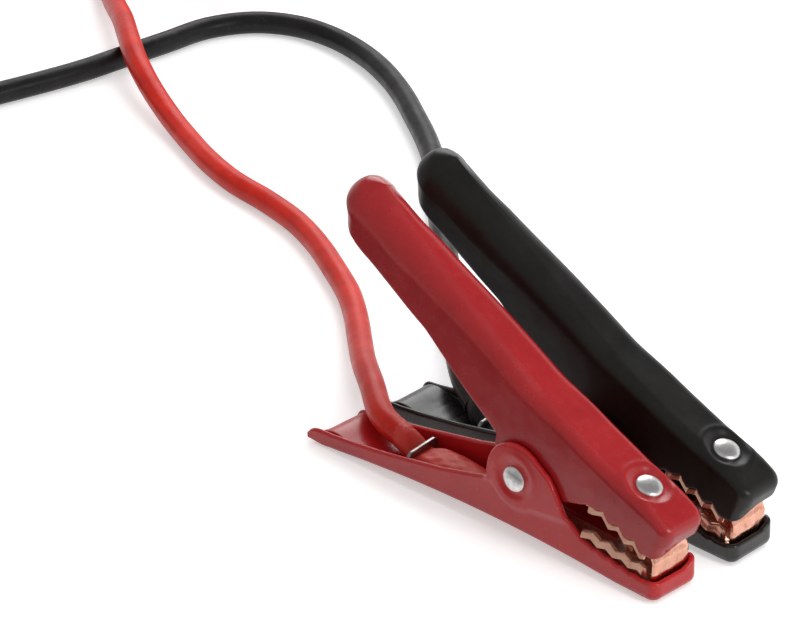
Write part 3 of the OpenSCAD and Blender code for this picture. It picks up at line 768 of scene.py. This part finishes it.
# Where each lead's middle runs; a point without a height lies on the floor
LAID = {
    "red": [
        [-43.6, -18, 10.1], [-63, -13, 12.2], [-81, 0, 12.6], [-98, 13, 10.4], [-114, 27, 7.6],
        [-131, 42, 5.6], [-148, 55], [-167, 66], [-186, 76], [-206, 84], [-228, 89], [-249, 92],
        [-270, 98], [-290, 106], [-310, 114, 6.2], [-330, 122, 10], [-350, 132, 13.6],
        [-368, 144, 14.6], [-386, 157, 13.4], [-404, 169, 10.6], [-421, 181, 7.8],
        [-440, 194, 5.8], [-460, 208], [-479.75, 223]],
    "black": [
        [-41.2, 14.8, 10.1], [-60, 25.5, 13.4], [-78, 41, 11.8], [-93, 56, 8.4], [-109, 71, 5.8],
        [-125, 86], [-141, 101], [-157, 115], [-173, 130], [-189, 145], [-205, 160], [-222, 173],
        [-240, 185], [-258, 196.5], [-277, 206.5], [-297, 214], [-319, 218], [-340, 216],
        [-357, 206], [-367, 188], [-369, 166], [-371, 145], [-373, 123], [-377, 102], [-382, 81],
        [-387, 60], [-392.4, 37.9]]}
ROUTES = {side: [(*point, RESTING)[:3] for point in line] for side, line in LAID.items()}

# Each coil's middle, the bearing at which the lead leaves it and that of its tie
COILS = {"red": ((-443, 272), 90.0, 150.0), "black": ((-452, 52), 303.5, 200.0)}


def wound_turns(name):
    """Clockwise turns from where the lead meets its coil: a turn on the floor at the outer radius,
    one inside it, one above that and the last part of a turn outside, above the first."""
    centre, leave, _ = COILS[name]
    end = ROUTES[name][-1]
    first = math.degrees(math.atan2(end[1] - centre[1], end[0] - centre[0])) % 360
    total = (first - leave) % 360 + WHOLE_TURNS * 360
    s = np.linspace(0, total, int(total / TURN_STEP) + 1)[1:]
    radius = OUTER_R - 2 * LEAD_R * rise(s, 268, 345) + 2 * LEAD_R * rise(s, 900, 1000)
    height = RESTING + 2 * LEAD_R * rise(s, 560, 665)
    return xyz(*on_circle(centre, radius, np.radians(first - s)), height)


def at_exit(name, local):
    """Points of a frame that stands where the lead leaves its coil, X along the lead."""
    centre, leave, _ = COILS[name]
    bearing = radians(leave)
    return moved(local, *on_circle(centre, OUTER_R, bearing), bearing - math.pi / 2)


def make_lead(name, material):
    """One open curve from the clip through the wound turns to the terminal, with a round bevel."""
    points = np.concatenate([ROUTES[name], wound_turns(name), at_exit(name, STUB_LINE)]) * MM
    points[0] += 0.2 * (points[1] - points[0])
    curve = bpy.data.curves.new(name + "_lead_cord", "CURVE")
    curve.dimensions = "3D"
    curve.bevel_depth = LEAD_R * MM
    curve.bevel_resolution = 6
    curve.use_fill_caps = True
    curve.resolution_u = 5
    spline = curve.splines.new("BEZIER")
    spline.bezier_points.add(len(points) - 1)
    reach = np.gradient(points, axis=0) / 3
    for key, places in (("co", points), ("handle_left", points - reach), ("handle_right", points + reach)):
        spline.bezier_points.foreach_set(key, places.ravel())
    curve.materials.append(material)
    cord = added(name + "_lead_cord", curve)
    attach(cord, "lower_arms_and_leads")
    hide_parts(name + "_lead", name + "_lead_coil")
    length = np.linalg.norm(np.diff(points, axis=0), axis=1).sum()
    return cord, points, float(length)


def coil_tie(name):
    """A strap round the bundle of turns: a rounded rectangle of flat band with rounded edges."""
    centre, _, bearing = COILS[name]
    bearing = radians(bearing)
    out = np.array([*on_circle((0, 0), 1, bearing), 0])
    up = np.array(UP)
    on = np.cross(up, out)
    middle = np.array([*on_circle(centre, COIL_R, bearing), 2 * LEAD_R])
    p, q = (part[:, None] for part in squarish(around(72), 0.42))
    section = [(-5.6, -0.35), (-5.9, 0.1), (-5.6, 0.5), (0, 0.55), (5.6, 0.5), (5.9, 0.1), (5.6, -0.35), (0, -0.4)]
    return ring_faces(np.stack([
        middle + p * (9.45 + high) * out + q * (9.0 + high * 0.55) * up + across * on
        for across, high in section]))


def shrunk_sleeve(name):
    """Heat-shrunk sleeve: a thin tube that swells over the terminal's barrel and necks in at both
    ends, with faint rings."""
    x = np.linspace(46.2, 69.8, 90)
    outer = 5.15 + 0.08 * np.sin(x * 3.1) - 0.18 * np.exp(-((x - 58) / 1.6) ** 2)
    outer = outer - 0.32 * fall(x, 46.2, 47.4) - 0.32 * rise(x, 68.6, 69.8)
    radius = np.concatenate([outer, np.full(len(x), 4.78)])[:, None]
    x = np.concatenate([x, x[::-1]])[:, None]
    return ring_faces(at_exit(name, xyz(x, *on_circle((0, BARREL_HEIGHT), radius, around(40)))))


def ring_terminal(name):
    """A ring terminal: a round barrel that flattens into a plate, then a ring round a bored hole.
    Seen from above its half width is 4.3 mm at the barrel and sqrt(8.5^2 - u^2) at the ring."""
    bore_r, ring_r, low, high = 4.2, 8.5, 1.0, 3.0
    x = stations((58.1, 72, 30), (72.6, 81.6, 14))
    flat = rise(x, 69, 75.5)
    wide = 4.3 * (1 - flat) + 4.9 * flat + 0.5 * rise(x, 77, 81.6)
    top = 9.6 * (1 - flat) + high * flat
    y, z = squarish(around(40), 1 - 0.6 * flat)
    barrel = capped_tube(xyz(x, wide * y, (top + low) / 2 + (top - low) / 2 * z))
    bevel = 0.25
    section = [(bore_r, low + bevel), (bore_r + bevel, low), (8.2, low), (ring_r, low + bevel),
               (ring_r, high - bevel), (8.2, high), (bore_r + bevel, high), (bore_r, high - bevel)]
    ring = np.stack([xyz(*on_circle((90, 0), r, around(72)), h) for r, h in section])
    points, faces = joined([barrel, ring_faces(ring)])
    return at_exit(name, points), faces


# ---- finishes ----


class Signal:
    """A shader socket on which sums can be written; each operator adds its Math node."""

    def __init__(self, nodes, socket):
        self.nodes, self.socket = nodes, socket

    def __add__(self, other):
        return self.nodes.node("Math", {0: self, 1: other}, operation="ADD")

    def __mul__(self, other):
        return self.nodes.node("Math", {0: self, 1: other}, operation="MULTIPLY")


class Nodes:
    """A node tree under construction."""

    def __init__(self, tree):
        self.tree = tree
        tree.nodes.clear()

    def node(self, kind, sockets=(), out=0, **settings):
        """A node of a kind, its settings first, then its sockets' values or links."""
        made = self.tree.nodes.new("ShaderNode" + kind)
        for key, value in settings.items():
            setattr(made, key, value)
        for key, value in dict(sockets).items():
            if isinstance(value, Signal):
                self.tree.links.new(value.socket, made.inputs[key])
            else:
                made.inputs[key].default_value = value
        return Signal(self, made.outputs[out]) if len(made.outputs) else None

    def ray(self, kind):
        """1 for rays of a kind, 0 for others."""
        return self.node("LightPath", out="Is " + kind + " Ray")

    def blend(self, share, first, second):
        """A colour between two, a share of the second."""
        colours = [c if isinstance(c, Signal) else (*c[:3], 1) for c in (first, second)]
        return self.node("Mix", {0: share, 6: colours[0], 7: colours[1]}, 2, data_type="RGBA")


class Finish(Nodes):
    """A material under construction, its patterns on Object coordinates in metres."""

    def __init__(self, name):
        self.material = bpy.data.materials.new(name)
        self.material.use_nodes = True
        super().__init__(self.material.node_tree)
        self.place = self.node("TexCoord", out="Object")

    def noise(self, scale, detail, rough, stretch=None, twist=0.0):
        place = self.node("Mapping", {"Vector": self.place, "Scale": stretch}) if stretch else self.place
        return self.node("TexNoise", {"Vector": place, "Scale": scale, "Detail": detail, "Roughness": rough,
                                      "Distortion": twist})

    def between(self, value, a, b, low=0.0, high=1.0):
        """value mapped from a..b to low..high and held there."""
        return self.node("MapRange", {"Value": value, "From Min": a, "From Max": b, "To Min": low, "To Max": high})

    def patches(self, scale, detail, rough, a, b, low=0.0, high=1.0, twist=0.0):
        """Noise mapped from a..b to low..high."""
        return self.between(self.noise(scale, detail, rough, twist=twist), a, b, low, high)

    def shaded(self, shader):
        """The finished material, with the shader as its surface."""
        self.node("OutputMaterial", {"Surface": shader})
        return self.material

    def done(self, colour, gloss, *layers, **more):
        """The finished material, with bumps from (height, depth in metres) layers, one over the
        other, and more of its shader's values."""
        bump = {}
        for height, depth in layers:
            bump = {"Normal": self.node("Bump", {"Height": height, "Distance": depth, "Strength": 1.0, **bump})}
        more = {key.replace("_", " "): value for key, value in more.items()}
        return self.shaded(self.node("BsdfPrincipled", {"Base Color": colour, "Roughness": gloss, **bump, **more}))


def dipped_vinyl(name, deep, plain, pale, rough, gloss_level):
    """Plastisol dip: slow colour changes, a fine mottle and a soft sag in its surface."""
    f = Finish(name)
    slow = f.patches(38, 3, 0.55, 0.35, 0.65)
    colour = f.blend(slow, deep, plain)
    mottle = f.patches(420, 4, 0.6, 0.4, 0.75, 0, 0.22)
    colour = f.blend(mottle, colour, pale)
    gloss = f.patches(150, 4, 0.6, 0.3, 0.7, rough - 0.04, rough + 0.05)
    return f.done(colour, gloss, (f.noise(75, 2, 0.4), 0.00040), (f.noise(1300, 2, 0.5), 0.000008), IOR=1.5,
                  Specular_IOR_Level=gloss_level)


def lead_jacket(name, deep, plain, rough):
    """Soft PVC lead jacket: a silky extruded skin with faint dulled patches."""
    f = Finish(name)
    slow = f.patches(55, 3, 0.6, 0.35, 0.68)
    scuff = f.patches(260, 5, 0.7, 0.58, 0.78, 0, 0.4, twist=0.6)
    colour = f.blend(slow, deep, plain)
    colour = f.blend(scuff, colour, tuple(min(1, 0.05 + 1.12 * c) for c in plain))
    gloss = f.patches(120, 4, 0.6, 0.3, 0.7, rough - 0.05, rough + 0.08) + scuff * 0.15
    return f.done(colour, gloss, (f.noise(110, 2, 0.45), 0.00035), (f.noise(2600, 2, 0.5), 0.00002), IOR=1.48,
                  Specular_IOR_Level=0.21)


def copper_finish(name, bright, dull, metal):
    """Copper-plated sheet: bright salmon with browned patches and fine rolling lines."""
    f = Finish(name)
    tarnish = f.patches(210, 5, 0.62, 0.42, 0.72, twist=0.4)
    spots = f.patches(900, 3, 0.6, 0.6, 0.74)
    colour = f.blend(tarnish, bright, dull)
    colour = f.blend(spots * 0.55, colour, (0.30, 0.11, 0.05))
    lines = f.noise(700, 3, 0.5, stretch=(0.12, 1, 1))
    gloss = f.between(tarnish + lines * 0.5, 0.3, 1.2, 0.13, 0.34)
    return f.done(colour, gloss, (f.noise(160, 2, 0.5), 0.00040), (lines, 0.00003), Metallic=metal)


def rivet_finish(name):
    """Nickelled rivet head, tumbled dull, with soft dents and a grey bloom."""
    f = Finish(name)
    stain = f.patches(500, 5, 0.65, 0.40, 0.72)
    colour = f.blend(stain, (0.84, 0.83, 0.82), (0.58, 0.58, 0.57))
    gloss = f.between(stain, 0, 1, 0.30, 0.42)
    return f.done(colour, gloss, (f.noise(330, 2, 0.5), 0.00014), (f.noise(1500, 3, 0.6), 0.00002), Metallic=1.0)


def plated_steel(name, light, dark, low, high):
    """Zinc-plated wire and sheet, streaked along one way."""
    f = Finish(name)
    streak = f.noise(600, 4, 0.6, stretch=(0.25, 1, 1))
    patch = f.patches(180, 4, 0.6, 0.35, 0.7)
    colour = f.blend(patch, light, dark)
    gloss = f.between(streak, 0.3, 0.7, low, high)
    return f.done(colour, gloss, (streak, 0.00004), (f.noise(1600, 2, 0.5), 0.00002), Metallic=1.0)


def strap_finish(name, colour, pale):
    """Ribbed nylon strap: fine rows of crosswise grooves over a matt skin."""
    f = Finish(name)
    grain = f.noise(1500, 3, 0.6)
    worn = f.patches(200, 4, 0.6, 0.45, 0.75)
    ribs = f.node("TexWave", {"Vector": f.place, "Scale": 260.0, "Distortion": 0.4}, wave_type="BANDS",
                  bands_direction="Z")
    return f.done(f.blend(worn * 0.5, colour, pale), f.between(grain, 0.3, 0.7, 0.5, 0.68), (ribs, 0.00012),
                  (grain, 0.00003))


def grey(level):
    return level, level, level, 1


BLACK_DIP = (0.0065, 0.006, 0.0055), (0.0105, 0.0095, 0.0085), (0.020, 0.018, 0.016)
FINISHES = {name: finish(name, *values) for name, finish, *values in (
    ("red_vinyl", dipped_vinyl, (0.35, 0.0095, 0.013), (0.405, 0.012, 0.016), (0.47, 0.03, 0.03), 0.25, 0.5),
    # red_low_vinyl is the red vinyl painted lighter for the lower arm: painted light, standing in for the light
    # that arm catches. black_low_vinyl keeps the black's colours and is only glossier.
    ("red_low_vinyl", dipped_vinyl, (0.48, 0.011, 0.015), (0.55, 0.014, 0.018), (0.60, 0.035, 0.035), 0.24, 0.5),
    ("black_vinyl", dipped_vinyl, *BLACK_DIP, 0.36, 0.30),
    ("black_low_vinyl", dipped_vinyl, *BLACK_DIP, 0.27, 0.56),
    ("red_lead", lead_jacket, (0.54, 0.014, 0.006), (0.72, 0.024, 0.010), 0.36),
    ("black_lead", lead_jacket, (0.008, 0.008, 0.0085), (0.015, 0.014, 0.014), 0.36),
    # red_pressed and black_pressed are the lead jackets painted paler for the flattened ends under the clip:
    # painted light, standing in for the light on them.
    ("red_pressed", lead_jacket, (0.58, 0.035, 0.027), (0.68, 0.065, 0.047), 0.42),
    ("black_pressed", lead_jacket, (0.014, 0.014, 0.015), (0.024, 0.023, 0.023), 0.42),
    ("copper", copper_finish, (0.95, 0.54, 0.40), (0.80, 0.38, 0.26), 0.8),
    # plate is the copper finish painted darker for the mouth plate: painted shade, in place of a dimmer reflection
    # on it.
    ("plate", copper_finish, (0.74, 0.385, 0.285), (0.60, 0.27, 0.18), 1),
    ("rivet", rivet_finish),
    ("steel", plated_steel, (0.62, 0.62, 0.61), (0.42, 0.42, 0.41), 0.22, 0.42),
    # staple is the plated steel painted darker: painted shade, standing in for the dark reflection on the clip's
    # face.
    ("staple", plated_steel, (0.42, 0.41, 0.38), (0.20, 0.19, 0.18), 0.30, 0.48),
    ("black_tie", strap_finish, (0.012, 0.012, 0.013), (0.04, 0.04, 0.04)),
    ("red_tie", strap_finish, (0.45, 0.018, 0.02), (0.6, 0.06, 0.05)),
    ("red_sleeve", lead_jacket, (0.36, 0.010, 0.010), (0.46, 0.015, 0.013), 0.30),
    ("black_sleeve", lead_jacket, (0.010, 0.010, 0.011), (0.018, 0.018, 0.018), 0.30),
)}

# ---- the part ----

LOWER = "lower_arms_and_leads"
OTHER = {"red": "black", "black": "red"}


def arm(grid):
    """A pan's grid with its faces."""
    return grid, quads(*grid.shape[:2], wrap_rows=True)


def lead_piece(side, name, shape, finish, sharp, node):
    """A piece at a lead's far end, its shape given in the part's frame."""
    points, faces = shape
    return make_piece(side + name, points * MM, faces, FINISHES[finish], LOWER, sharp, [side + node])


def clamp_shapes(side):
    """Name, shape, finish, body, slot, the angle from which an edge is sharp, and the nodes that
    the piece stands for."""
    upper, vinyl = side + "_upper_arm", side + "_vinyl"
    return (
        ("dipped_upper_arm", arm(upper_arm()), vinyl, upper, vinyl, None, "upper_arm_coat", "upper_arm_steel"),
        # the lower arm takes the _low_vinyl finish: for red a copy painted lighter (painted light), for black a
        # glossier copy
        ("dipped_lower_arm", arm(lower_arm()), side + "_low_vinyl", LOWER, vinyl, None,
         "lower_arm_coat", "lower_arm_steel"),
        ("upper_teeth", upper_liner(), "copper", upper, "copper", 35, "upper_jaw_liner"),
        ("mouth_plate", mouth_plate(), "plate", upper, "copper", 35),
        ("lower_teeth", lower_liner(), "copper", LOWER, "copper", 35, "lower_jaw_liner"),
        ("pivot", pivot_rivet(), "rivet", LOWER, "rivet", 40, "pivot_rivet"),
        ("upper_rivet", upper_rivet(), "rivet", upper, "rivet", 40, "upper_jaw_rivet"),
        ("lower_rivet", lower_rivet(), "rivet", LOWER, "rivet", 40, "lower_jaw_rivet"),
        ("spring", spring(), "steel", LOWER, "steel", None, "torsion_spring"),
        ("spring_leg", spring_leg(), "steel", upper, "steel", None),
        ("staple", cable_clip(), "staple", LOWER, "steel", 40, "cable_clip"),
        ("pressed_lead", pressed_lead(side), side + "_pressed", LOWER, side + "_lead", None, "insulated_end"),
        ("strands", strands(), "copper", LOWER, "copper", None, "bare_strands"),
        ("lug", lug(), "copper", LOWER, "copper", 35, "crimp_lug"),
    )


leads = {side: make_lead(side, FINISHES[side + "_lead"]) for side in SIDES}
for side in SIDES:
    tie = lead_piece(side, "_strap", coil_tie(side), OTHER[side] + "_tie", 40, "_coil_tie")
    sleeve = lead_piece(side, "_shrunk_sleeve", shrunk_sleeve(side), side + "_sleeve", 60,
                        "_terminal_sleeve")
    eye = lead_piece(side, "_terminal", ring_terminal(side), "copper", 40, "_ring_terminal")
    for name, (grid, faces), finish, body, slot, sharp, *nodes in clamp_shapes(side):
        make_piece(side + "_" + name, placed(grid, SIDES[side]), faces, FINISHES[finish], body, sharp,
                   [side + "_" + node for node in nodes])

# ---- studio ----

FLOOR_R = 6
FLOOR_Z = -0.0004
CARD_Z = -0.0001


def staged(name, paint):
    """The object just added becomes a named piece of the stage, in its paint."""
    piece = bpy.context.object
    piece.name = name
    piece.data.materials.append(paint)
    return piece


def make_floor():
    """A round white floor that keeps the part's shadow. The eye, gloss and glass see it white."""
    f = Finish("floor")
    seen = f.ray("Camera") + f.ray("Glossy") + f.ray("Transmission")
    white = f.node("BsdfDiffuse", {"Color": grey(0.85)})
    lighting = f.node("BsdfDiffuse", {"Color": grey(0.64)})
    far = f.between(f.node("VectorMath", {0: f.place}, "Value", operation="LENGTH"), 0.7, 2.0)
    glow = f.node("Emission", {"Color": grey(1), "Strength": far * 0.55 + 0.45})
    backdrop = f.node("AddShader", {0: white, 1: glow})
    paint = f.shaded(f.node("MixShader", {0: seen, 1: lighting, 2: backdrop}))
    bpy.ops.mesh.primitive_circle_add(vertices=96, radius=FLOOR_R, fill_type="NGON", location=(0, 0, FLOOR_Z))
    staged("floor", paint)


def make_reflection_card():
    """A card on the floor beside the red clamp, white at its edge by the clamp and dark from 5 cm in, that only
    gloss sees:
    a painted reflection, which the handles' upright sides mirror as painted dark reflections. Its white edge glows
    a little, a painted glow."""
    f = Finish("painted_reflection_card")
    along = f.node("SeparateXYZ", {0: f.place}, out="Y")
    bright = f.between(along, 0.448, 0.480)
    skin = f.node("BsdfDiffuse", {"Color": f.blend(bright, grey(0.12), grey(0.85))})
    # painted glow: the card's white edge gives off light of its own
    painted_glow = f.node("Emission", {"Color": grey(1), "Strength": bright * 0.3})
    paint = f.shaded(f.node("AddShader", {0: skin, 1: painted_glow}))
    bpy.ops.mesh.primitive_plane_add(size=1, location=(0, -0.54, CARD_Z))
    card = staged("painted_reflection_card", paint)
    card.visible_camera = card.visible_diffuse = card.visible_transmission = card.visible_shadow = False


def make_world():
    """White to the eye. The part sees it pale up to some 30 degrees on the black clamp's side, and
    grey elsewhere."""
    world = bpy.data.worlds.new("studio")
    bpy.context.scene.world = world
    world.use_nodes = True
    w = Nodes(world.node_tree)
    place = w.node("TexCoord", out="Generated")
    y, z = (w.node("SeparateXYZ", {0: place}, out=axis) for axis in "YZ")
    across = w.node("MapRange", {"Value": y, "From Min": -0.45, "From Max": 0.25}, interpolation_type="SMOOTHSTEP")
    sky = w.node("ValToRGB", {0: z})
    ramp = sky.socket.node.color_ramp
    ramp.interpolation = "EASE"
    for element, position, level in zip(ramp.elements, (0.38, 0.62), (0.92, 0.22)):
        element.position, element.color = position, grey(level)
    colour = w.blend(w.ray("Camera"), w.blend(across, grey(0.42), sky), grey(1))
    w.node("OutputWorld", {0: w.node("Background", {"Color": colour})})


def make_lamp(name, direction, away, size, power, shines):
    """A round soft lamp of a size in metres and a power in watts, away metres off in a direction
    from the part; one that doesn't shine leaves no highlight."""
    lamp = bpy.data.lights.new(name, "AREA")
    lamp.shape = "DISK"
    lamp.size = size
    lamp.energy = power
    held = added(name, lamp)
    direction = Vector(direction).normalized()
    held.location = direction * away + Vector((0, 0, 0.04))
    held.rotation_mode = "QUATERNION"
    held.rotation_quaternion = direction.to_track_quat("Z", "Y")
    held.visible_glossy = shines


make_floor()
make_reflection_card()
make_world()
make_lamp("key", (0.35, 0.10, 0.93), 2.2, 1.6, 21, False)
make_lamp("window", (-0.54, 0.60, 0.59), 1.5, 1.0, 7.5, True)
make_lamp("spark", (0.865, 0.07, 0.50), 2.2, 0.35, 10, True)

bpy.context.scene.view_settings.view_transform = "Standard"
